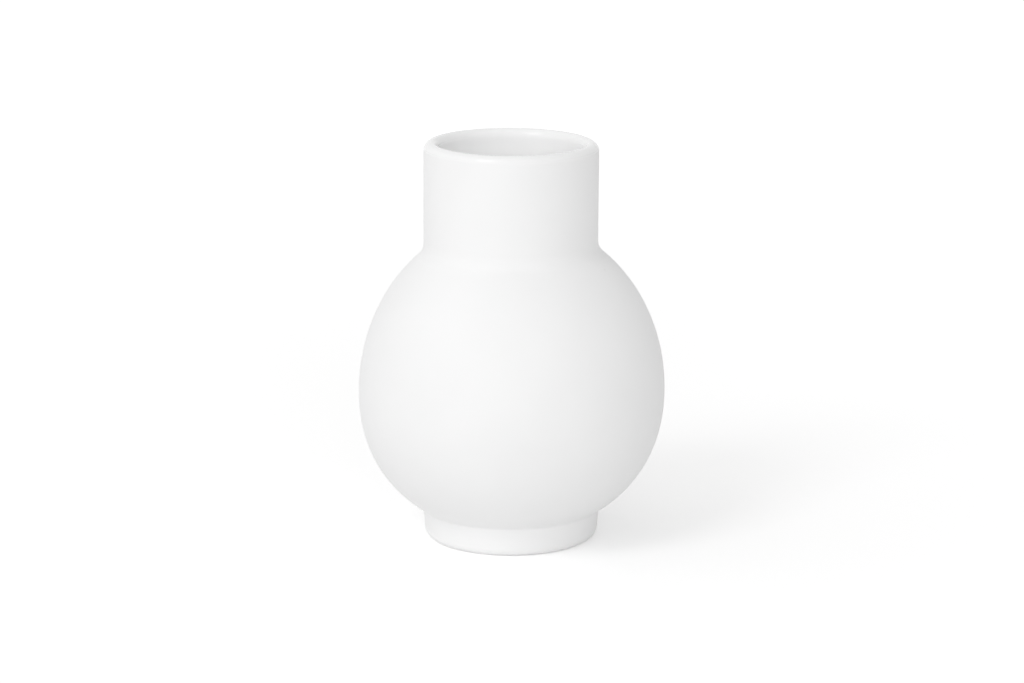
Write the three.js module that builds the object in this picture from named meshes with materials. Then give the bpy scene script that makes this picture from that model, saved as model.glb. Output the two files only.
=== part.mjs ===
// Ball vase in white glazed stoneware: a hollow, slightly egg-shaped ball on a low foot ring,
// with a straight round neck. Millimetres, +Z up. The origin is on the axis of the vase, at the
// surface that it stands on.
//
// Every piece is turned, so each is a profile in the plane of radius and height, revolved about the
// axis. The pieces meet on flat seats, and the two coils of clay that join them carry the curves of
// the corners.

import * as THREE from 'three';

// Ball
const ballDiameter = 152.7; // outside, at the widest line
const ballRise = 85.9; // half-height of the egg curve above the widest line
const ballDrop = 71.2; // half-height of the egg curve below the widest line
const ballFullness = 2.18; // power of the curve below the widest line: fuller than an ellipse, which has 2
const wall = 7.4; // clay wall of the ball and of the neck
const baseThickness = 7.5; // floor of the ball, above the recess in the foot
const floorRound = 12.0; // hollow curve between the floor and the wall, inside

// Neck
const neckDiameter = 86.4; // outside
const neckLength = 54.2; // from the shoulder crease to the top of the lip
const lipInnerRound = 3.4; // inner edge of the lip, across: the rest of the wall rounds to the outside
const lipInnerDepth = 5.0; // inner edge of the lip, from its top down to the straight bore
const shoulderBlend = 10.0; // hollow curve between the ball and the neck, outside
const mouthRound = 5.0; // rounded edge between the bore of the neck and the inside of the ball

// Foot
const footDiameter = 86.0; // outside, at the surface that the vase stands on
const footFlare = 4.6; // degrees that the side of the foot leans outwards as it rises
const footHeight = 14.7; // from the surface to the crease under the ball
const footWidth = 8.0; // width of the ring
const footBlend = 2.2; // hollow curve between the foot and the ball, outside and in the recess
const footOuterRound = 3.4; // bottom edge, outside
const footInnerRound = 2.0; // bottom edge, in the recess

// Facets
const turnSteps = 64; // round the axis
const eggStep = THREE.MathUtils.degToRad(7.5); // along the egg curve
const roundStep = THREE.MathUtils.degToRad(15); // along the small rounds

// A point of a profile: its distance from the axis and its height
const point = (radius, height) => new THREE.Vector2(radius, height);
const up = point(0, 1);
const out = point(1, 0);
const quarterTurn = Math.PI / 2;

// Sizes and heights that follow from the dimensions above
const flare = THREE.MathUtils.degToRad(footFlare);
const footRadius = footDiameter / 2;
const footBore = footRadius - footWidth;
const neckRadius = neckDiameter / 2;
const neckBore = neckRadius - wall;
const lipOuterRound = wall - lipInnerRound;
const eggShare = (radius, power) => (1 - (radius / (ballDiameter / 2)) ** power) ** (1 / power);
const creaseRadius = footRadius + footHeight * Math.tan(flare);
const ballMiddle = footHeight + ballDrop * eggShare(creaseRadius, ballFullness);
const lipTop = ballMiddle + ballRise * eggShare(neckRadius, 2) + neckLength;

// The outline of the ball, set in by a distance: an ellipse above the widest line, and a flatter and
// fuller curve below it, which has the ellipse's formula with a higher power
function eggCurve(inset) {
  const radius = ballDiameter / 2 - inset;
  const half = (rising) => (rising ? [ballRise - inset, 2] : [ballDrop - inset, ballFullness]);
  const raised = (value, power) => Math.sign(value) * Math.abs(value) ** power;
  return {
    at: (angle) => {
      const [reach, power] = half(angle > 0);
      const across = raised(Math.cos(angle), 2 / power);
      return point(radius * across, ballMiddle + reach * raised(Math.sin(angle), 2 / power));
    },
    normal: (angle) => {
      const [reach, power] = half(angle > 0);
      const across = raised(Math.cos(angle), 2 - 2 / power) / radius;
      return point(across, raised(Math.sin(angle), 2 - 2 / power) / reach).normalize();
    },
    angleAt: (height) => {
      const [reach, power] = half(height > ballMiddle);
      return Math.asin(raised((height - ballMiddle) / reach, power / 2));
    },
  };
}

// Points on the egg curve from one height to another
function eggPoints(curve, fromHeight, toHeight) {
  const from = curve.angleAt(fromHeight);
  const turn = curve.angleAt(toHeight) - from;
  const steps = Math.max(1, Math.ceil(Math.abs(turn) / eggStep));
  const points = Array.from({ length: steps + 1 }, (_, i) => curve.at(from + (turn * i) / steps));
  points[0].y = fromHeight;
  points[steps].y = toHeight;
  return points;
}

// Points on the shorter arc from start to end about a centre
function arcPoints(centre, start, end) {
  const radius = start.distanceTo(centre);
  const from = start.clone().sub(centre).angle();
  const to = end.clone().sub(centre).angle();
  const turn = THREE.MathUtils.euclideanModulo(to - from + Math.PI, 2 * Math.PI) - Math.PI;
  const steps = Math.max(1, Math.ceil(Math.abs(turn) / roundStep));
  const between = Array.from({ length: steps - 1 }, (_, i) => {
    const angle = from + (turn * (i + 1)) / steps;
    return point(Math.cos(angle), Math.sin(angle)).multiplyScalar(radius).add(centre);
  });
  return [start, ...between, end];
}

// The arc that runs tangent from the egg curve into a straight side. Its centre lies one radius from
// both, outside the curve (direction 1) or inside it (direction -1), and is found by halving the
// stretch of curve between the widest line and the pole that the side is near.
function blendArc(curve, direction, side, radius, pole) {
  const centreAt = (angle) => curve.at(angle).addScaledVector(curve.normal(angle), direction * radius);
  let clear = 0;
  let crossed = pole;
  while (Math.abs(crossed - clear) > 1e-12) {
    const middle = (clear + crossed) / 2;
    const distance = centreAt(middle).sub(side.start).dot(side.normal);
    if (distance > radius) clear = middle;
    else crossed = middle;
  }
  const centre = centreAt(clear);
  const onCurve = curve.at(clear);
  const onSide = centre.clone().addScaledVector(side.normal, -radius);
  return { onCurve, onSide, points: arcPoints(centre, onCurve, onSide) };
}

const outside = eggCurve(0);
const inside = eggCurve(wall);
const footSide = { start: point(footRadius, 0), normal: point(Math.cos(flare), -Math.sin(flare)) };
const neckSide = { start: point(neckRadius, 0), normal: out };
const boreSide = { start: point(neckBore, 0), normal: out };

const footCorner = blendArc(outside, 1, footSide, footBlend, -quarterTurn);
const shoulder = blendArc(outside, 1, neckSide, shoulderBlend, quarterTurn);
const mouth = blendArc(inside, 1, boreSide, mouthRound, quarterTurn);

// Flat seats: each coil reaches just as far as the curves that it carries
const footSeat = footCorner.onSide.y;
const ballUnderside = footCorner.onCurve.y;
const ballRim = Math.min(shoulder.onCurve.y, mouth.onCurve.y);
const neckSeat = Math.max(shoulder.onSide.y, mouth.onSide.y);

const cavityFloor = { start: point(0, ballUnderside + baseThickness), normal: up };
const floorCorner = blendArc(inside, -1, cavityFloor, floorRound, -quarterTurn);

// Profiles run outwards along the bottom, up the outside and down the inside
function footRingProfile() {
  const lean = footOuterRound * (Math.tan(flare) - 1 / Math.cos(flare));
  const outerCentre = point(footRadius + lean, footOuterRound);
  const outerTop = outerCentre.clone().addScaledVector(footSide.normal, footOuterRound);
  const innerCentre = point(footBore + footInnerRound, footInnerRound);
  return [
    ...arcPoints(innerCentre, point(footBore, footInnerRound), point(innerCentre.x, 0)),
    ...arcPoints(outerCentre, point(outerCentre.x, 0), outerTop),
    footCorner.onSide,
    point(footBore, footSeat),
  ];
}

function footCoilProfile() {
  const innerCentre = point(footBore - footBlend, footSeat);
  const innerReach = Math.sqrt(footBlend ** 2 - (ballUnderside - footSeat) ** 2);
  const innerTop = point(innerCentre.x + innerReach, ballUnderside);
  return [
    ...footCorner.points.toReversed(),
    ...arcPoints(innerCentre, innerTop, point(footBore, footSeat)),
  ];
}

function ballProfile() {
  return [
    point(0, ballUnderside),
    ...eggPoints(outside, ballUnderside, ballMiddle),
    ...eggPoints(outside, ballMiddle, ballRim),
    ...eggPoints(inside, ballRim, ballMiddle),
    ...eggPoints(inside, ballMiddle, floorCorner.onCurve.y),
    ...floorCorner.points,
    cavityFloor.start,
  ];
}

function neckCoilProfile() {
  return [
    ...eggPoints(outside, ballRim, shoulder.onCurve.y),
    ...shoulder.points,
    point(neckRadius, neckSeat),
    point(neckBore, neckSeat),
    ...mouth.points.toReversed(),
    ...eggPoints(inside, mouth.onCurve.y, ballRim),
  ];
}

function neckProfile() {
  const outerCentre = point(neckRadius - lipOuterRound, lipTop - lipOuterRound);
  const innerCentre = point(neckBore + lipInnerRound, lipTop - lipInnerDepth);
  const innerReach = point(lipInnerRound, lipInnerDepth);
  const innerEdge = arcPoints(point(0, 0), point(0, 1), point(-1, 0));
  return [
    point(neckRadius, neckSeat),
    ...arcPoints(outerCentre, point(neckRadius, outerCentre.y), point(outerCentre.x, lipTop)),
    ...innerEdge.map((p) => p.multiply(innerReach).add(innerCentre)),
    point(neckBore, neckSeat),
  ];
}

// Revolves a profile, which closes on itself where it doesn't start on the axis
function turned(name, profile) {
  const least = 1e-6;
  const outline = profile.filter((p, i) => i === 0 || p.distanceTo(profile[i - 1]) > least);
  if (outline[0].x > 0) {
    if (outline.at(-1).distanceTo(outline[0]) < least) outline.pop();
    outline.push(outline[0]);
  }
  const geometry = new THREE.LatheGeometry(outline, turnSteps).rotateX(quarterTurn);
  const whiteGlaze = new THREE.MeshStandardMaterial({ color: 0xf4f4f2, roughness: 0.2, metalness: 0 });
  const mesh = new THREE.Mesh(geometry, whiteGlaze);
  mesh.name = name;
  return mesh;
}

const vase = new THREE.Group();
vase.name = 'ball_vase';
vase.add(
  turned('foot_ring', footRingProfile()),
  turned('foot_luting_coil', footCoilProfile()),
  turned('ball_body', ballProfile()),
  turned('neck_luting_coil', neckCoilProfile()),
  turned('neck_collar', neckProfile()),
);

export default vase;
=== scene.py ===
import math
import bpy
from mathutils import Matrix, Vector


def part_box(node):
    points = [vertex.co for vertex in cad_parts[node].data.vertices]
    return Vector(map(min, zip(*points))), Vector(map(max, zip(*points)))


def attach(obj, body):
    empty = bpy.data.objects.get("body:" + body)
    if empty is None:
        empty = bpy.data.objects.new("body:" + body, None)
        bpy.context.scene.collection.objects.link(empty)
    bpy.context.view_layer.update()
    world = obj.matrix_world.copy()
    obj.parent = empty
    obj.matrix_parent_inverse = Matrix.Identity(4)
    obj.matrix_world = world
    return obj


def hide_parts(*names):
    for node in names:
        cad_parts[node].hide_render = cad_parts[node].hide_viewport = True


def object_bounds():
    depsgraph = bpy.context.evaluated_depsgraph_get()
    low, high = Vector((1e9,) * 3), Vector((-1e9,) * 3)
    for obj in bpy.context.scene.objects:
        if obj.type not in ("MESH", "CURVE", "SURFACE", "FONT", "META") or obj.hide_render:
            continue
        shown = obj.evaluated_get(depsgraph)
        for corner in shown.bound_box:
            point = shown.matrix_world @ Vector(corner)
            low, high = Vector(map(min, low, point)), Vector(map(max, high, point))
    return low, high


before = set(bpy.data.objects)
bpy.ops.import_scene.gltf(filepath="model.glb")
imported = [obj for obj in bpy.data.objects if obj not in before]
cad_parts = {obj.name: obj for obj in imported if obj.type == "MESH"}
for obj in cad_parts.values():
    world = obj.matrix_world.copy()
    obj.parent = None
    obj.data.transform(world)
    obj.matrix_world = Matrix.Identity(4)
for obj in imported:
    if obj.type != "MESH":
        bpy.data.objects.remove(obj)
cadLow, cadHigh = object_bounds()
scene = bpy.context.scene
scene.view_settings.view_transform = "Standard"
scene.cycles.max_bounces = 24    # the white inside passes light on many times
scene.cycles.diffuse_bounces = 24
mm = 0.001
print("frame loaded:", ", ".join(sorted(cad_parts)))


def linearColour(hexText):
    # sRGB hex to the linear colour that the sockets take
    values = [int(hexText[i:i + 2], 16) / 255 for i in (1, 3, 5)]
    return [v / 12.92 if v <= 0.04045 else ((v + 0.055) / 1.055) ** 2.4 for v in values] + [1.0]


def addNode(tree, kind, inputs=None, **settings):
    # a new node with its settings, then its inputs: a socket is linked, anything else is a value
    node = tree.nodes.new(kind)
    for name, value in settings.items():
        setattr(node, name, value)
    for key, value in (inputs or {}).items():
        if isinstance(value, bpy.types.NodeSocket):
            tree.links.new(value, node.inputs[key])
        else:
            node.inputs[key].default_value = value
    return node


# heights and radii that the solids already give
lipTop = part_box("neck_collar")[1].z
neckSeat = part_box("neck_collar")[0].z
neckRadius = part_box("neck_collar")[1].x
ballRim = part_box("ball_body")[1].z
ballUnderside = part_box("ball_body")[0].z
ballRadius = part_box("ball_body")[1].x
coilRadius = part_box("foot_luting_coil")[1].x
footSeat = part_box("foot_ring")[1].z
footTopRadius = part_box("foot_ring")[1].x

# camera at the photograph's place, worked out from the outline of the vase
view = {
    "elevation": 13.47,       # degrees above the floor
    "distance": 1712 * mm,    # to the point looked at
    "lookAt": (0.4 * mm, 0, 99.1 * mm),
    "lens": 120.8,            # on a 36 mm sensor
}


def makeCamera():
    data = bpy.data.cameras.new("photoCamera")
    data.lens = view["lens"]
    data.sensor_width = 36
    data.clip_start = 0.01
    data.clip_end = 100
    camera = bpy.data.objects.new("photoCamera", data)
    rise = math.radians(view["elevation"])
    back = Vector((0, -math.cos(rise), math.sin(rise)))
    camera.location = Vector(view["lookAt"]) + back * view["distance"]
    camera.rotation_euler = (-back).to_track_quat("-Z", "Y").to_euler()
    scene.collection.objects.link(camera)
    scene.camera = camera


makeCamera()
print("camera set")

# glazed stoneware: a white satin glaze over pale clay. The eye gets an almost even white with broad, faint
# highlights, a shade greyer where the glaze runs thin, and sharp glints only along the lip, where the
# glaze has melted glossy. The inside is painted a purer white: painted light that brightens the bore
# beyond what the lamps give there. A few pin-prick specks of iron come through from the clay.
glaze = {
    "white": "#f6f6f6",
    "thin": "#f1f1f1",
    # painted light: the inside is coloured whiter to stand in for light down the bore
    "paintedInsideLight": "#fdfdfd",
    "speck": "#b9b0a4",
    "clouds": 38 * mm,        # drifts of thicker and thinner glaze
    "thinShare": 0.35,        # how far the thinnest drift turns to the thin colour
    "skin": 1.8 * mm,         # orange peel
    "skinDepth": 0.0025 * mm,
    "speckSpacing": 16 * mm,
    "speckSize": 0.45 * mm,
    "speckless": 0.45,        # share of the spaces that have no speck
    "speckStrength": 0.55,    # seen through the glaze
    "roughness": 0.55,
    "lipRoughness": 0.08,
    "lipDepth": 2.4 * mm,     # of the glossy band, below the top of the lip
    "lipFade": 1.2 * mm,      # below that it turns satin
    "specular": 0.15,         # a third of plain glass: satin glazes mirror little
    "lipSpecular": 0.35,
    "paintedInsideFade": 9 * mm,     # below the lip the painted inside light takes over
}


def makeGlaze():
    material = bpy.data.materials.new("white glazed stoneware")
    material.use_nodes = True
    tree = material.node_tree
    tree.nodes.clear()
    place = addNode(tree, "ShaderNodeTexCoord").outputs["Object"]
    clouds = addNode(tree, "ShaderNodeTexNoise", {
        "Vector": place, "Scale": 1 / glaze["clouds"], "Detail": 2.0, "Roughness": 0.5})
    drift = addNode(tree, "ShaderNodeMapRange", {
        "Value": clouds.outputs["Fac"], "From Min": 0.35, "From Max": 0.7,
        "To Min": 0.0, "To Max": glaze["thinShare"]})
    tone = addNode(tree, "ShaderNodeMix", {
        "Factor": drift.outputs["Result"],
        6: linearColour(glaze["white"]), 7: linearColour(glaze["thin"])}, data_type="RGBA")
    # painted light: a whiter colour inside the neck and ball stands in for light there
    paintedInsideLight = addNode(tree, "ShaderNodeAttribute", attribute_name="paintedInsideLight")
    white = addNode(tree, "ShaderNodeMix", {
        "Factor": paintedInsideLight.outputs["Fac"],
        6: tone.outputs[2], 7: linearColour(glaze["paintedInsideLight"])}, data_type="RGBA")
    cells = addNode(tree, "ShaderNodeTexVoronoi", {
        "Vector": place, "Scale": 1 / glaze["speckSpacing"], "Randomness": 1.0})
    chance = addNode(tree, "ShaderNodeSeparateColor", {"Color": cells.outputs["Color"]})
    largest = glaze["speckSize"] / glaze["speckSpacing"]
    size = addNode(tree, "ShaderNodeMapRange", {
        "Value": chance.outputs["Red"], "From Min": glaze["speckless"], "From Max": 1.0,
        "To Min": 0.0, "To Max": largest})
    inSpeck = addNode(tree, "ShaderNodeMath", {
        0: size.outputs["Result"], 1: cells.outputs["Distance"]}, operation="SUBTRACT")
    speck = addNode(tree, "ShaderNodeMapRange", {
        "Value": inSpeck.outputs["Value"], "From Min": 0.0, "From Max": 0.4 * largest,
        "To Min": 0.0, "To Max": glaze["speckStrength"]})
    colour = addNode(tree, "ShaderNodeMix", {
        "Factor": speck.outputs["Result"],
        6: white.outputs[2], 7: linearColour(glaze["speck"])}, data_type="RGBA")
    satin = addNode(tree, "ShaderNodeMapRange", {
        "Value": clouds.outputs["Fac"], "From Min": 0.3, "From Max": 0.7,
        "To Min": glaze["roughness"] - 0.02, "To Max": glaze["roughness"] + 0.03})
    level = addNode(tree, "ShaderNodeSeparateXYZ", {0: place})
    onLip = addNode(tree, "ShaderNodeMapRange", {
        "Value": level.outputs["Z"], "From Min": lipTop - glaze["lipDepth"] - glaze["lipFade"],
        "From Max": lipTop - glaze["lipDepth"]}, interpolation_type="SMOOTHSTEP")
    gloss = addNode(tree, "ShaderNodeMapRange", {
        "Value": onLip.outputs["Result"],
        "To Min": satin.outputs["Result"], "To Max": glaze["lipRoughness"]})
    mirror = addNode(tree, "ShaderNodeMapRange", {
        "Value": onLip.outputs["Result"], "To Min": glaze["specular"], "To Max": glaze["lipSpecular"]})
    skin = addNode(tree, "ShaderNodeTexNoise", {
        "Vector": place, "Scale": 1 / glaze["skin"], "Detail": 1.0, "Roughness": 0.4})
    height = addNode(tree, "ShaderNodeMath", {
        0: skin.outputs["Fac"], 1: glaze["skinDepth"] / mm}, operation="MULTIPLY")
    bump = addNode(tree, "ShaderNodeBump", {
        "Height": height.outputs["Value"], "Strength": 1.0, "Distance": mm})
    surface = addNode(tree, "ShaderNodeBsdfPrincipled", {
        "Base Color": colour.outputs[2], "Roughness": gloss.outputs["Result"],
        "Normal": bump.outputs["Normal"], "IOR": 1.5, "Specular IOR Level": mirror.outputs["Result"],
        "Metallic": 0.0})
    addNode(tree, "ShaderNodeOutputMaterial", {"Surface": surface.outputs["BSDF"]})
    return material


# bare stoneware: fired clay wiped clean of glaze. Matt and a little sandy, pale buff with darker grains.
clay = {
    "pale": "#ece9e4",
    "dark": "#dcd8d0",
    "grain": 0.6 * mm,
    "grainDepth": 0.03 * mm,
    "roughness": 0.85,
}


def makeClay():
    material = bpy.data.materials.new("bare fired stoneware")
    material.use_nodes = True
    tree = material.node_tree
    tree.nodes.clear()
    place = addNode(tree, "ShaderNodeTexCoord").outputs["Object"]
    grain = addNode(tree, "ShaderNodeTexNoise", {
        "Vector": place, "Scale": 1 / clay["grain"], "Detail": 3.0, "Roughness": 0.6})
    share = addNode(tree, "ShaderNodeMapRange", {
        "Value": grain.outputs["Fac"], "From Min": 0.4, "From Max": 0.75, "To Min": 0.0, "To Max": 1.0})
    colour = addNode(tree, "ShaderNodeMix", {
        "Factor": share.outputs["Result"],
        6: linearColour(clay["pale"]), 7: linearColour(clay["dark"])}, data_type="RGBA")
    height = addNode(tree, "ShaderNodeMath", {
        0: grain.outputs["Fac"], 1: clay["grainDepth"] / mm}, operation="MULTIPLY")
    bump = addNode(tree, "ShaderNodeBump", {
        "Height": height.outputs["Value"], "Strength": 1.0, "Distance": mm})
    surface = addNode(tree, "ShaderNodeBsdfPrincipled", {
        "Base Color": colour.outputs[2], "Roughness": clay["roughness"],
        "Normal": bump.outputs["Normal"], "IOR": 1.5, "Metallic": 0.0})
    addNode(tree, "ShaderNodeOutputMaterial", {"Surface": surface.outputs["BSDF"]})
    return material


glazeMaterial = makeGlaze()
clayMaterial = makeClay()
print("materials made")

ball = {
    "rise": 85.9 * mm,        # egg curve above the widest line
    "drop": 71.2 * mm,        # and below it
    "fullness": 2.18,         # power of the curve below it: an ellipse has 2
    "wall": 7.4 * mm,
    "floorThickness": 7.5 * mm,
    "floorRound": 12.0 * mm,
}
neck = {
    "lipInnerRound": 3.4 * mm,
    "lipInnerDepth": 5.0 * mm,
    "shoulderBlend": 10.0 * mm,
    "mouthRound": 5.0 * mm,
}
foot = {
    "flare": math.radians(4.6),
    "width": 8.0 * mm,
    "blend": 2.2 * mm,
    "outerRound": 4.6 * mm,   # with the glaze over it, rounder than the solid
    "innerRound": 1.4 * mm,
    "glazeLine": 0.3 * mm,    # the glaze is wiped off below this height
    "glazeThickness": 0.22 * mm,
    "setBack": 0.3 * mm,      # of the bare ring behind the glazed sides
}
# pieces joined by hand are never quite true: how far they lie to the right of the axis, and how far
# the lip tilts
joining = {
    "footShift": -0.1 * mm,
    "shoulderShift": 0.62 * mm,
    "neckShift": -0.15 * mm,
    "lipShift": 0.05 * mm,
    "lipTilt": 0.006,         # slope, higher on the left
}

ballMiddle = ballUnderside + ball["drop"] * (
    1 - (coilRadius / ballRadius) ** ball["fullness"]) ** (1 / ball["fullness"])
neckBore = neckRadius - ball["wall"]
footRadius = footTopRadius - footSeat * math.tan(foot["flare"])
footBore = footRadius - foot["width"]
quarter = math.pi / 2

# profiles lie in the plane of radius and height, as 2D vectors
eggStep = math.radians(1.2)
roundStep = math.radians(2.5)
rowStep = 2.0 * mm
samePoint = 0.0001 * mm


def polar(angle):
    return Vector((math.cos(angle), math.sin(angle)))


def raised(value, power):
    return math.copysign(abs(value) ** power, value)


def eggHalf(inset, rising):
    # half-height and power of the upper or the lower half of the egg curve
    return (ball["rise"] - inset, 2.0) if rising else (ball["drop"] - inset, ball["fullness"])


def eggPoint(inset, angle):
    reach, power = eggHalf(inset, angle > 0)
    across = (ballRadius - inset) * raised(math.cos(angle), 2 / power)
    return Vector((across, ballMiddle + reach * raised(math.sin(angle), 2 / power)))


def eggNormal(inset, angle):
    reach, power = eggHalf(inset, angle > 0)
    across = raised(math.cos(angle), 2 - 2 / power) / (ballRadius - inset)
    return Vector((across, raised(math.sin(angle), 2 - 2 / power) / reach)).normalized()


def eggAngle(inset, height):
    reach, power = eggHalf(inset, height > ballMiddle)
    return math.asin(raised((height - ballMiddle) / reach, power / 2))


def eggStretch(inset, fromHeight, toHeight):
    first, last = eggAngle(inset, fromHeight), eggAngle(inset, toHeight)
    steps = max(1, math.ceil(abs(last - first) / eggStep))
    return [eggPoint(inset, first + (last - first) * i / steps) for i in range(steps + 1)]


def arc(centre, start, end):
    # the shorter way round
    first = math.atan2(start.y - centre.y, start.x - centre.x)
    turn = math.atan2(end.y - centre.y, end.x - centre.x) - first
    turn = (turn + math.pi) % (2 * math.pi) - math.pi
    steps = max(1, math.ceil(abs(turn) / roundStep))
    radius = (start - centre).length
    return [start] + [centre + polar(first + turn * i / steps) * radius for i in range(1, steps)] + [end]


halvings = 50


def blendArc(inset, direction, sidePoint, sideNormal, radius, pole):
    # tangent from the egg curve into a straight side: halves the stretch until the centre fits both
    clear, crossed = 0.0, pole
    for _ in range(halvings):
        middle = (clear + crossed) / 2
        centre = eggPoint(inset, middle) + eggNormal(inset, middle) * direction * radius
        if (centre - sidePoint).dot(sideNormal) > radius:
            clear = middle
        else:
            crossed = middle
    return arc(centre, eggPoint(inset, clear), centre - sideNormal * radius)


def rows(points, closed):
    # drops repeats, and adds rows on long straight stretches
    ring = points + points[:1] if closed else points
    result = [ring[0]]
    for end in ring[1:]:
        start = result[-1]
        length = (end - start).length
        if length < samePoint:
            continue
        steps = math.ceil(length / rowStep)
        result += [start.lerp(end, i / steps) for i in range(1, steps + 1)]
    return result


outward = Vector((1, 0))
upward = Vector((0, 1))
footSideNormal = polar(-foot["flare"])
shoulderArc = blendArc(0, 1, Vector((neckRadius, 0)), outward, neck["shoulderBlend"], quarter)
mouthArc = blendArc(ball["wall"], 1, Vector((neckBore, 0)), outward, neck["mouthRound"], quarter)
footArc = blendArc(0, 1, Vector((footRadius, 0)), footSideNormal, foot["blend"], -quarter)
lipApex = Vector((neckBore + neck["lipInnerRound"], lipTop))
ballMouth = eggStretch(ball["wall"], ballRim, ballRim)[0]
floorHeight = ballUnderside + ball["floorThickness"]
floorArc = blendArc(ball["wall"], -1, Vector((0, floorHeight)), upward, ball["floorRound"], -quarter)


def neckProfile():
    outerRound = ball["wall"] - neck["lipInnerRound"]
    outerCentre = Vector((neckRadius - outerRound, lipTop - outerRound))
    innerCentre = Vector((neckBore + neck["lipInnerRound"], lipTop - neck["lipInnerDepth"]))
    innerReach = Vector((neck["lipInnerRound"], neck["lipInnerDepth"]))
    innerEdge = arc(Vector((0, 0)), Vector((0, 1)), Vector((-1, 0)))
    return [
        Vector((neckRadius, neckSeat)),
        *arc(outerCentre, Vector((neckRadius, outerCentre.y)), Vector((outerCentre.x, lipTop))),
        *[innerCentre + p * innerReach for p in innerEdge],
        Vector((neckBore, neckSeat)),
    ]


def neckCoilProfile():
    return [
        *eggStretch(0, ballRim, shoulderArc[0].y),
        *shoulderArc,
        Vector((neckRadius, neckSeat)),
        Vector((neckBore, neckSeat)),
        *reversed(mouthArc),
        *eggStretch(ball["wall"], mouthArc[0].y, ballRim),
    ]


def ballProfile():
    return [
        Vector((0, ballUnderside)),
        *eggStretch(0, ballUnderside, ballRim),
        *eggStretch(ball["wall"], ballRim, floorArc[0].y),
        *floorArc,
        Vector((0, floorHeight)),
    ]


def footCoilProfile():
    innerCentre = Vector((footBore - foot["blend"], footSeat))
    innerReach = math.sqrt(foot["blend"] ** 2 - (ballUnderside - footSeat) ** 2)
    innerTop = Vector((innerCentre.x + innerReach, ballUnderside))
    return [*reversed(footArc), *arc(innerCentre, innerTop, Vector((footBore, footSeat)))]


def wipedEdge(centre, radius, side):
    # from the bare standing ring up to the rolled edge of the glaze, on one side of the foot
    thick = foot["glazeThickness"]
    angle = -quarter + side * math.acos(1 - foot["glazeLine"] / radius)
    normal = polar(angle)
    along = Vector((-normal.y, normal.x)) * side
    glazed = centre + normal * radius
    bare = glazed - (normal + along) * thick
    ring = Vector((centre.x - side * foot["setBack"], 0))
    reach = bare - ring
    bareCentre = ring + upward * (reach.length_squared / (2 * reach.y))
    return [*arc(bareCentre, ring, bare), *arc(glazed - normal * thick, bare, glazed)]


def footProfile():
    lean = foot["outerRound"] * (math.tan(foot["flare"]) - 1 / math.cos(foot["flare"]))
    outerCentre = Vector((footRadius + lean, foot["outerRound"]))
    innerCentre = Vector((footBore + foot["innerRound"], foot["innerRound"]))
    outerEdge = wipedEdge(outerCentre, foot["outerRound"], 1)
    innerEdge = wipedEdge(innerCentre, foot["innerRound"], -1)
    outerTop = outerCentre + footSideNormal * foot["outerRound"]
    return [
        *arc(innerCentre, Vector((footBore, innerCentre.y)), innerEdge[-1]),
        *reversed(innerEdge),
        *outerEdge,
        *arc(outerCentre, outerEdge[-1], outerTop),
        footArc[-1],
        Vector((footBore, footSeat)),
    ]


def smooth(value, low, high):
    share = min(1, max(0, (value - low) / (high - low)))
    return share * share * (3 - 2 * share)


def shiftAt(height):
    ballShare = smooth(height, footSeat, ballRim)
    neckShare = smooth(height, neckSeat, lipTop)
    ballShift = joining["footShift"] + (joining["shoulderShift"] - joining["footShift"]) * ballShare
    neckShift = joining["neckShift"] + (joining["lipShift"] - joining["neckShift"]) * neckShare
    return ballShift + (neckShift - ballShift) * smooth(height, ballRim, neckSeat)


# the wheel: turns a profile about the axis. Rows of a flat grid take the points of the profile and its
# columns the turn, and a slow drift of the surface keeps it from being too true.
wheel = {"Segments": 256, "Drift": 0.05 * mm, "Drift length": 30 * mm, "Seed": 4.0}
creaseAngle = math.radians(40)    # sharper bends are shaded as edges


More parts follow.
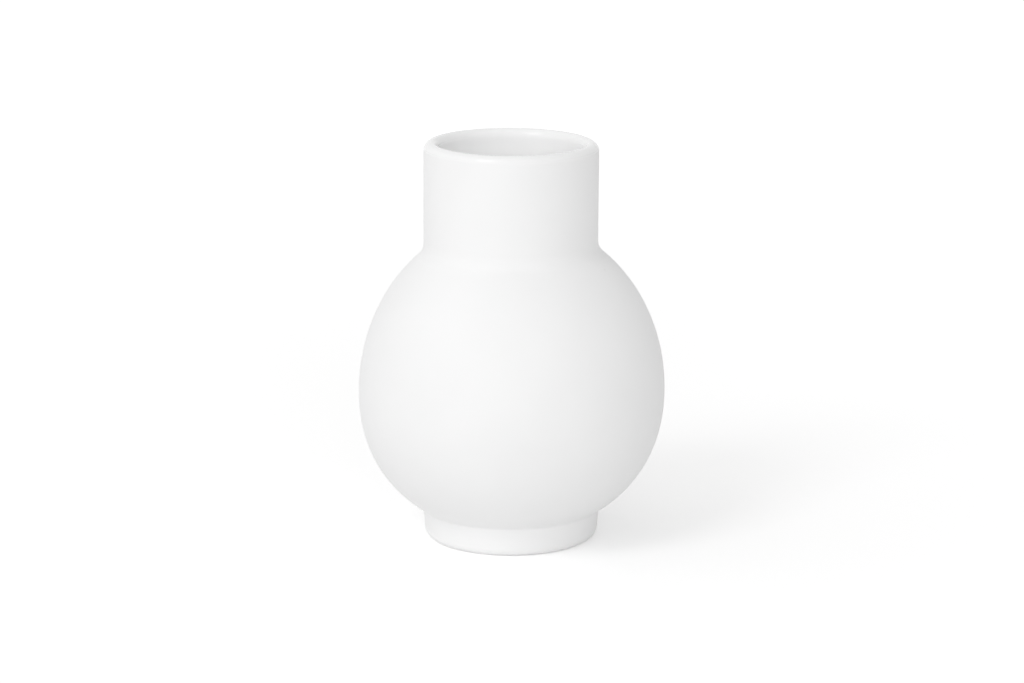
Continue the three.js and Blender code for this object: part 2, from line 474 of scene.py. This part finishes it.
def makeWheel():
    tree = bpy.data.node_groups.new("pottersWheel", "GeometryNodeTree")
    sockets = {}
    for name, kind in (("Profile", "Geometry"), ("Segments", "Int"), ("Drift", "Float"),
                       ("Drift length", "Float"), ("Seed", "Float"), ("Bare below", "Float"),
                       ("Glaze", "Material"), ("Clay", "Material")):
        sockets[name] = tree.interface.new_socket(name, in_out="INPUT", socket_type="NodeSocket" + kind)
    tree.interface.new_socket("Piece", in_out="OUTPUT", socket_type="NodeSocketGeometry")
    given = addNode(tree, "NodeGroupInput").outputs
    count = addNode(tree, "GeometryNodeAttributeDomainSize", {0: given["Profile"]}, component="MESH")
    columns = addNode(tree, "ShaderNodeMath", {0: given["Segments"], 1: 1.0}, operation="ADD")
    grid = addNode(tree, "GeometryNodeMeshGrid", {
        "Size X": 1.0, "Size Y": 1.0, "Vertices X": columns.outputs[0],
        "Vertices Y": count.outputs["Point Count"]})
    position = addNode(tree, "GeometryNodeInputPosition").outputs[0]
    spot = addNode(tree, "ShaderNodeSeparateXYZ", {0: position})
    turn = addNode(tree, "ShaderNodeMath", {0: spot.outputs["X"], 1: 2 * math.pi}, operation="MULTIPLY")
    lastRow = addNode(tree, "ShaderNodeMath", {
        0: count.outputs["Point Count"], 1: 1.0}, operation="SUBTRACT")
    share = addNode(tree, "ShaderNodeMath", {0: spot.outputs["Y"], 1: 0.5}, operation="ADD")
    row = addNode(tree, "ShaderNodeMath", {
        0: share.outputs[0], 1: lastRow.outputs[0]}, operation="MULTIPLY")
    nearest = addNode(tree, "ShaderNodeMath", {0: row.outputs[0]}, operation="ROUND")
    sample = addNode(tree, "GeometryNodeSampleIndex", {
        "Geometry": given["Profile"], "Value": position,
        "Index": nearest.outputs[0]}, data_type="FLOAT_VECTOR", domain="POINT")
    sampled = {}
    # the share of painted inside light, the shift and the tilt come along from the profile
    for name in ("paintedInsideLight", "shift", "tilt"):
        found = addNode(tree, "GeometryNodeInputNamedAttribute", {"Name": name}, data_type="FLOAT")
        sampled[name] = addNode(tree, "GeometryNodeSampleIndex", {
            "Geometry": given["Profile"], "Value": found.outputs["Attribute"],
            "Index": nearest.outputs[0]}, data_type="FLOAT", domain="POINT").outputs["Value"]
    marked = addNode(tree, "GeometryNodeStoreNamedAttribute", {
        "Geometry": grid.outputs["Mesh"], "Name": "paintedInsideLight", "Value": sampled["paintedInsideLight"]},
        data_type="FLOAT", domain="POINT")
    profile = addNode(tree, "ShaderNodeSeparateXYZ", {0: sample.outputs["Value"]})
    cosine = addNode(tree, "ShaderNodeMath", {0: turn.outputs[0]}, operation="COSINE")
    sine = addNode(tree, "ShaderNodeMath", {0: turn.outputs[0]}, operation="SINE")
    spoke = addNode(tree, "ShaderNodeCombineXYZ", {"X": cosine.outputs[0], "Y": sine.outputs[0]})
    rim = addNode(tree, "ShaderNodeVectorMath", {
        0: spoke.outputs[0], "Scale": profile.outputs["X"]}, operation="SCALE")
    rimPlace = addNode(tree, "ShaderNodeSeparateXYZ", {0: rim.outputs[0]})
    sunk = addNode(tree, "ShaderNodeMath", {
        0: rimPlace.outputs["X"], 1: sampled["tilt"]}, operation="MULTIPLY")
    level = addNode(tree, "ShaderNodeMath", {
        0: profile.outputs["Z"], 1: sunk.outputs[0]}, operation="SUBTRACT")
    lift = addNode(tree, "ShaderNodeCombineXYZ", {"X": sampled["shift"], "Z": level.outputs[0]})
    true = addNode(tree, "ShaderNodeVectorMath", {0: rim.outputs[0], 1: lift.outputs[0]}, operation="ADD")
    # the drift fades out at the axis, where all the columns meet
    fineness = addNode(tree, "ShaderNodeMath", {0: 1.0, 1: given["Drift length"]}, operation="DIVIDE")
    noise = addNode(tree, "ShaderNodeTexNoise", {
        "Vector": true.outputs[0], "W": given["Seed"], "Scale": fineness.outputs[0],
        "Detail": 1.0}, noise_dimensions="4D")
    middle = addNode(tree, "ShaderNodeMath", {0: noise.outputs[0], 1: 0.5}, operation="SUBTRACT")
    swing = addNode(tree, "ShaderNodeMath", {0: middle.outputs[0], 1: 2.0}, operation="MULTIPLY")
    depth = addNode(tree, "ShaderNodeMath", {0: swing.outputs[0], 1: given["Drift"]}, operation="MULTIPLY")
    fade = addNode(tree, "ShaderNodeMapRange", {
        "Value": profile.outputs["X"], "From Min": 0.0, "From Max": given["Drift length"]})
    amount = addNode(tree, "ShaderNodeMath", {
        0: depth.outputs[0], 1: fade.outputs[0]}, operation="MULTIPLY")
    offset = addNode(tree, "ShaderNodeVectorMath", {
        0: spoke.outputs[0], "Scale": amount.outputs[0]}, operation="SCALE")
    placed = addNode(tree, "GeometryNodeSetPosition", {
        "Geometry": marked.outputs[0], "Position": true.outputs[0], "Offset": offset.outputs[0]})
    closed = addNode(tree, "GeometryNodeMergeByDistance", {
        "Geometry": placed.outputs[0], "Distance": 0.001 * mm})
    softened = addNode(tree, "GeometryNodeSetShadeSmooth", {
        "Geometry": closed.outputs[0], "Shade Smooth": True})
    bend = addNode(tree, "GeometryNodeInputMeshEdgeAngle")
    crease = addNode(tree, "FunctionNodeCompare", {
        0: bend.outputs["Unsigned Angle"], 1: creaseAngle}, operation="GREATER_THAN")
    sharp = addNode(tree, "GeometryNodeSetShadeSmooth", {
        "Geometry": softened.outputs[0], "Selection": crease.outputs[0],
        "Shade Smooth": False}, domain="EDGE")
    real = addNode(tree, "GeometryNodeRealizeInstances", {"Geometry": sharp.outputs[0]})
    glazed = addNode(tree, "GeometryNodeSetMaterial", {
        "Geometry": real.outputs[0], "Material": given["Glaze"]})
    height = addNode(tree, "ShaderNodeSeparateXYZ", {0: position})
    isBare = addNode(tree, "FunctionNodeCompare", {
        0: height.outputs["Z"], 1: given["Bare below"]}, operation="LESS_THAN")
    wiped = addNode(tree, "GeometryNodeSetMaterial", {
        "Geometry": glazed.outputs[0], "Selection": isBare.outputs[0], "Material": given["Clay"]})
    addNode(tree, "NodeGroupOutput", {0: wiped.outputs[0]})
    return tree, {name: socket.identifier for name, socket in sockets.items()}


wheelTree, wheelInputs = makeWheel()


def turnPiece(name, node, profile, closed=True, paintedFrom=None, bareBelow=-1.0):
    points = rows(profile, closed)
    mesh = bpy.data.meshes.new(name)
    mesh.from_pydata([(p.x, 0, p.y) for p in points], [(i, i + 1) for i in range(len(points) - 1)], [])
    # from the given point on, the profile runs down the inside, which is painted whiter as painted light,
    # and a closed one ends on its first point
    inside = last = len(points) - int(closed)
    if paintedFrom:
        inside = min(range(last), key=lambda i: (points[i] - paintedFrom).length)
    paintedInsideLight, shift, tilt = [
        mesh.attributes.new(key, "FLOAT", "POINT").name for key in ("paintedInsideLight", "shift", "tilt")]
    for i, point in enumerate(points):
        if inside <= i < last:
            # painted light: the inside turns whiter below the lip
            mesh.attributes[paintedInsideLight].data[i].value = min(1, (lipTop - point.y) / glaze["paintedInsideFade"])
        mesh.attributes[shift].data[i].value = shiftAt(point.y)
        mesh.attributes[tilt].data[i].value = joining["lipTilt"] * smooth(point.y, neckSeat, lipTop)
    piece = bpy.data.objects.new(name, mesh)
    scene.collection.objects.link(piece)
    modifier = piece.modifiers.new("wheel", "NODES")
    modifier.node_group = wheelTree
    values = {**wheel, "Bare below": bareBelow, "Glaze": glazeMaterial, "Clay": clayMaterial}
    for key, value in values.items():
        modifier[wheelInputs[key]] = value
    depsgraph = bpy.context.evaluated_depsgraph_get()
    turned = bpy.data.meshes.new_from_object(piece.evaluated_get(depsgraph), depsgraph=depsgraph)
    piece.modifiers.clear()
    piece.data = turned
    turned.name = name
    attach(piece, "root")
    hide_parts(node)
    print(name, len(turned.polygons), "faces")


turnPiece("footRing", "foot_ring", footProfile(), bareBelow=foot["glazeLine"] - foot["glazeThickness"])
turnPiece("footLutingCoil", "foot_luting_coil", footCoilProfile())
turnPiece("ballBody", "ball_body", ballProfile(), closed=False, paintedFrom=ballMouth)
turnPiece("neckLutingCoil", "neck_luting_coil", neckCoilProfile(), paintedFrom=Vector((neckBore, neckSeat)))
turnPiece("neckCollar", "neck_collar", neckProfile(), paintedFrom=lipApex)

# studio: a white paper floor in a light room, a softbox from the front left and a wide fill by the camera.
# Directions are degrees to the right of the camera and up from the floor.
studio = {
    "skyLeft": 0.915,         # light from the room, which is darker on the right
    "skyRight": 0.50,
    "floorWhite": 0.90,       # what the floor gives back to the vase
    "floorShade": 1.0,        # how much of the floor's tone follows the light that falls on it
    "glowNear": 0.162,        # its own white, which makes up for the light that falls off
    "glowFar": 0.28,
    "farOff": 2.0,            # metres from the vase
    "floorReach": 6.0,
    "floorSides": 64,
    "lamps": [
        {"name": "softbox", "turn": -40, "rise": 43, "distance": 6.0, "size": (2.0, 2.4), "power": 49,
         "mirrored": True},
        {"name": "fill", "turn": 6, "rise": 14, "distance": 6.0, "size": (4.5, 2.4), "power": 69,
         "mirrored": False},
    ],
}


def rayShare(tree):
    # 1 for what the camera sees, directly, mirrored or through glass
    path = addNode(tree, "ShaderNodeLightPath").outputs
    mirrored = addNode(tree, "ShaderNodeMath", {
        0: path["Is Camera Ray"], 1: path["Is Glossy Ray"]}, operation="MAXIMUM")
    return addNode(tree, "ShaderNodeMath", {
        0: mirrored.outputs[0], 1: path["Is Transmission Ray"]}, operation="MAXIMUM").outputs[0]


def makeRoom():
    world = bpy.data.worlds.new("room")
    world.use_nodes = True
    scene.world = world
    tree = world.node_tree
    tree.nodes.clear()
    towards = addNode(tree, "ShaderNodeSeparateXYZ", {
        0: addNode(tree, "ShaderNodeTexCoord").outputs["Generated"]})
    sky = addNode(tree, "ShaderNodeMapRange", {
        "Value": towards.outputs["X"], "From Min": -1.0, "From Max": 1.0,
        "To Min": studio["skyLeft"], "To Max": studio["skyRight"]})
    level = addNode(tree, "ShaderNodeMapRange", {
        "Value": rayShare(tree), "To Min": sky.outputs["Result"], "To Max": 1.0})
    light = addNode(tree, "ShaderNodeBackground", {
        "Color": (1, 1, 1, 1), "Strength": level.outputs["Result"]})
    addNode(tree, "ShaderNodeOutputWorld", {"Surface": light.outputs[0]})


def makeFloor():
    # a round sheet with a hole under the vase, hidden by its standing ring, which lets light reach the
    # recess for a look from below
    mesh = bpy.data.meshes.new("paperFloor")
    count = studio["floorSides"]
    turns = [polar(2 * math.pi * i / count) for i in range(count)]
    hole = max(p.x for p in footProfile() if p.y < samePoint) - foot["setBack"]
    corners = [(t.x * r, t.y * r, 0) for r in (hole, studio["floorReach"]) for t in turns]
    after = [(i + 1) % count for i in range(count)]
    mesh.from_pydata(corners, [], [(i, count + i, count + after[i], after[i]) for i in range(count)])
    floor = bpy.data.objects.new("paperFloor", mesh)
    scene.collection.objects.link(floor)
    material = bpy.data.materials.new("white paper")
    material.use_nodes = True
    tree = material.node_tree
    tree.nodes.clear()
    white = studio["floorWhite"]
    shade = studio["floorShade"]
    bounced = addNode(tree, "ShaderNodeBsdfDiffuse", {"Color": (white, white, white, 1)})
    shaded = addNode(tree, "ShaderNodeBsdfDiffuse", {"Color": (shade, shade, shade, 1)})
    away = addNode(tree, "ShaderNodeVectorMath", {
        0: addNode(tree, "ShaderNodeTexCoord").outputs["Object"]}, operation="LENGTH")
    glowLevel = addNode(tree, "ShaderNodeMapRange", {
        "Value": away.outputs["Value"], "From Min": 0.0, "From Max": studio["farOff"],
        "To Min": studio["glowNear"], "To Max": studio["glowFar"]})
    glow = addNode(tree, "ShaderNodeEmission", {
        "Color": (1, 1, 1, 1), "Strength": glowLevel.outputs["Result"]})
    seen = addNode(tree, "ShaderNodeAddShader", {0: shaded.outputs[0], 1: glow.outputs[0]})
    paper = addNode(tree, "ShaderNodeMixShader", {
        0: rayShare(tree), 1: bounced.outputs[0], 2: seen.outputs[0]})
    # seen from below there is no floor in the way
    under = addNode(tree, "ShaderNodeNewGeometry").outputs["Backfacing"]
    clear = addNode(tree, "ShaderNodeBsdfTransparent")
    both = addNode(tree, "ShaderNodeMixShader", {0: under, 1: paper.outputs[0], 2: clear.outputs[0]})
    addNode(tree, "ShaderNodeOutputMaterial", {"Surface": both.outputs[0]})
    mesh.materials.append(material)


def makeLamps():
    target = Vector((0, 0, (cadLow.z + cadHigh.z) / 2))
    for lamp in studio["lamps"]:
        data = bpy.data.lights.new(lamp["name"], "AREA")
        data.shape = "RECTANGLE"
        data.size, data.size_y = lamp["size"]
        data.energy = lamp["power"]
        lampObject = bpy.data.objects.new(lamp["name"], data)
        turn, rise = math.radians(lamp["turn"]), math.radians(lamp["rise"])
        toLamp = Vector((math.sin(turn) * math.cos(rise), -math.cos(turn) * math.cos(rise), math.sin(rise)))
        lampObject.location = target + toLamp * lamp["distance"]
        lampObject.rotation_euler = (target - lampObject.location).to_track_quat("-Z", "Y").to_euler()
        lampObject.visible_camera = False
        lampObject.visible_glossy = lamp["mirrored"]
        scene.collection.objects.link(lampObject)


makeRoom()
makeFloor()
makeLamps()
print("studio lit")
